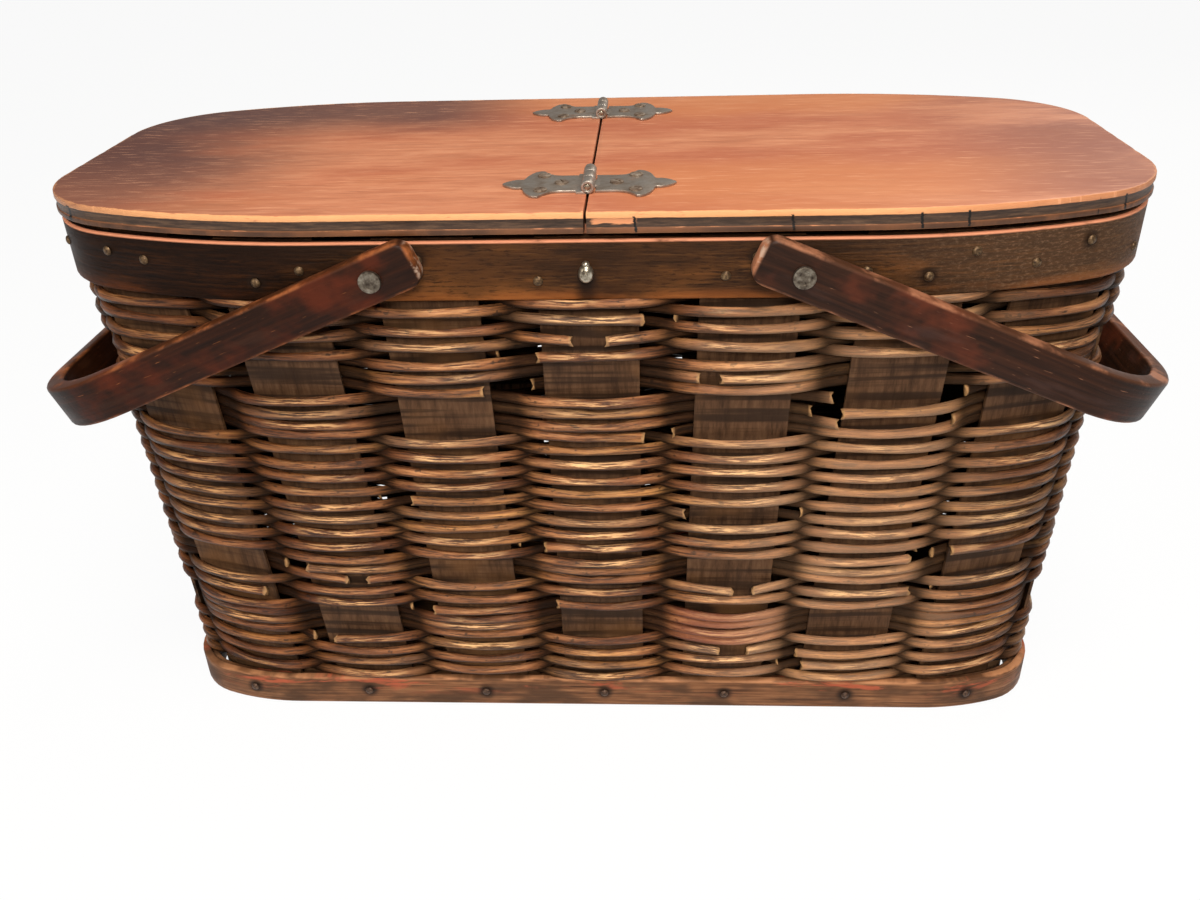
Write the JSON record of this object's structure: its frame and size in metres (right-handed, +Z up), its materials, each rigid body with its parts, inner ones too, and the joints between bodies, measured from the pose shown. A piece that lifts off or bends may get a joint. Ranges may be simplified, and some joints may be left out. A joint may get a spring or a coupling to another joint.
{
  "type": "picnic basket",
  "caption": "Picnic basket of woven reed on wooden splints with bentwood bands, a plywood lid in two hinged halves and two bail handles.",
  "frame": {"origin": "middle of the underside, on the surface that the basket stands on", "axes": "+X along the basket, towards its right end; +Y from front to rear; +Z up"},
  "size_m": [0.5364, 0.242, 0.3049],
  "materials": {
    "splint_wood": "aged dry wood splint",
    "reed": "shellacked reed, worn",
    "base_band_wood": "aged varnished wood with paint remnants",
    "rim_wood": "aged varnished bentwood",
    "lid_plywood": "worn stained plywood",
    "handle_wood": "dark stained bentwood, worn edges",
    "nail_metal": "tarnished",
    "stud_metal": "dulled nickel",
    "hinge_steel": "aged, rust spotted",
    "rivet_steel": "dark aged"
  },
  "bodies": {
    "basket": {"bar_studs": "stud_metal", "base_band": "base_band_wood", "base_board": "rim_wood", "base_nails": "nail_metal", "centre_bar": "rim_wood", "handle_rivets": "rivet_steel", "pivot_spacers": "rivet_steel", "rim_band_inner": "rim_wood", "rim_band_outer": "rim_wood", "rim_nails": "nail_metal", "splint_01": "splint_wood", "splint_02": "splint_wood", "splint_03": "splint_wood", "splint_04": "splint_wood", "splint_05": "splint_wood", "splint_06": "splint_wood", "splint_07": "splint_wood", "splint_08": "splint_wood", "splint_09": "splint_wood", "splint_10": "splint_wood", "splint_11": "splint_wood", "splint_12": "splint_wood", "splint_13": "splint_wood", "splint_14": "splint_wood", "splint_15": "splint_wood", "splint_16": "splint_wood", "splint_17": "splint_wood", "splint_18": "splint_wood", "weave_lower": "reed", "weave_middle": "reed", "weave_upper": "reed"},
    "left_lid": {"hinge_pin_front": "hinge_steel", "hinge_pin_rear": "hinge_steel", "left_hinge_leaf_front": "hinge_steel", "left_hinge_leaf_rear": "hinge_steel", "left_lid_board": "lid_plywood", "left_lid_cleat": "rim_wood"},
    "right_lid": {"right_hinge_leaf_front": "hinge_steel", "right_hinge_leaf_rear": "hinge_steel", "right_lid_board": "lid_plywood", "right_lid_cleat": "rim_wood"},
    "left_handle": {"left_handle_bow": "handle_wood"},
    "right_handle": {"right_handle_bow": "handle_wood"}
  },
  "joints": [
    {"name": "left_lid_hinge", "type": "hinge", "parent": "basket", "child": "left_lid", "pos_m": [0, 0, 0.302], "axis": [0, 1, 0], "range_deg": [0, 180]},
    {"name": "right_lid_hinge", "type": "hinge", "parent": "basket", "child": "right_lid", "pos_m": [0, 0, 0.302], "axis": [0, -1, 0], "range_deg": [0, 180]},
    {"name": "left_handle_pivot", "type": "hinge", "parent": "basket", "child": "left_handle", "pos_m": [-0.0905, 0, 0.274], "axis": [0, 1, 0], "range_deg": [0, 132]},
    {"name": "right_handle_pivot", "type": "hinge", "parent": "basket", "child": "right_handle", "pos_m": [0.0905, 0, 0.274], "axis": [0, -1, 0], "range_deg": [0, 132]}
  ]
}
